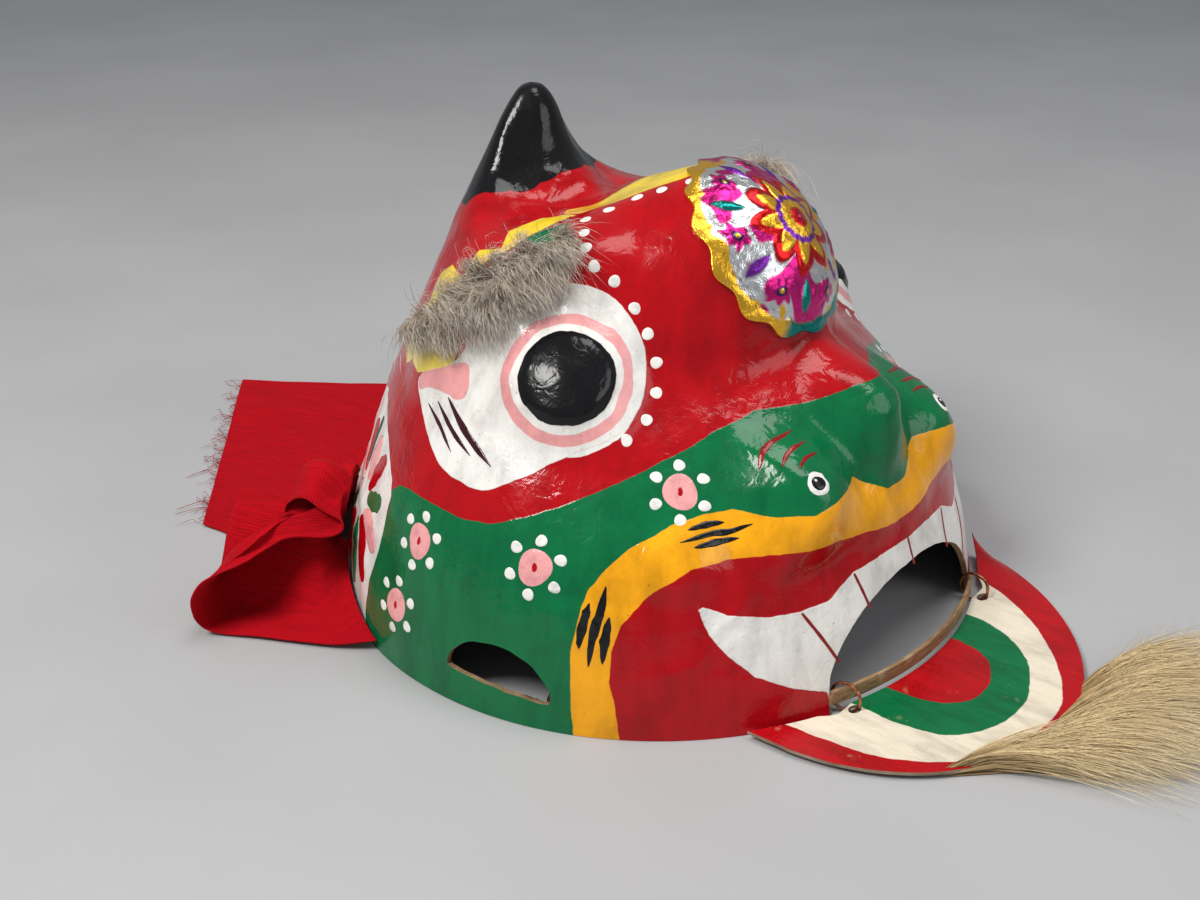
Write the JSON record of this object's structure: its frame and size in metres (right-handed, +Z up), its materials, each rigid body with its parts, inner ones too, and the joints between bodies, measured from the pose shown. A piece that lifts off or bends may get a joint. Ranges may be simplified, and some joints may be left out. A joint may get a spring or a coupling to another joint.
{
  "type": "lion dance head",
  "caption": "Open-bottomed papier-mache lion head worn in dances, with a horn, a hinged card jaw, a fibre beard, fur brows and a cloth tail.",
  "frame": {"origin": "on the floor, under the middle of the object's box, the head resting on its rim", "axes": "+Z up; the lion faces -Y; its right side is towards -X; the tail cloth runs towards +Y"},
  "size_m": [0.3602, 0.6408, 0.233],
  "materials": {
    "lacquered_paper": "glossy lacquer on hand-painted papier-mache",
    "foil": "printed foil",
    "fur": "rabbit fur",
    "cane": "satin",
    "copper_wire": "dull copper",
    "painted_card": "satin paint on card",
    "sisal": "combed plant fibre",
    "red_cotton": "plain-woven cotton"
  },
  "bodies": {
    "head": {"head_shell": "lacquered_paper", "forehead_foil": "foil", "brow_fur_right": "fur", "brow_fur_left": "fur", "mouth_strip": "cane", "tail_cloth": "red_cotton"},
    "jaw": {"jaw_flap": "painted_card", "beard": "sisal", "wire_ring_right": "copper_wire", "wire_ring_left": "copper_wire"}
  },
  "joints": [
    {"name": "jaw_hinge", "type": "hinge", "parent": "head", "child": "jaw", "pos_m": [0.02033, -0.17577, 0.0081], "axis": [-1, 0, 0], "range_deg": [-40, 80]}
  ]
}
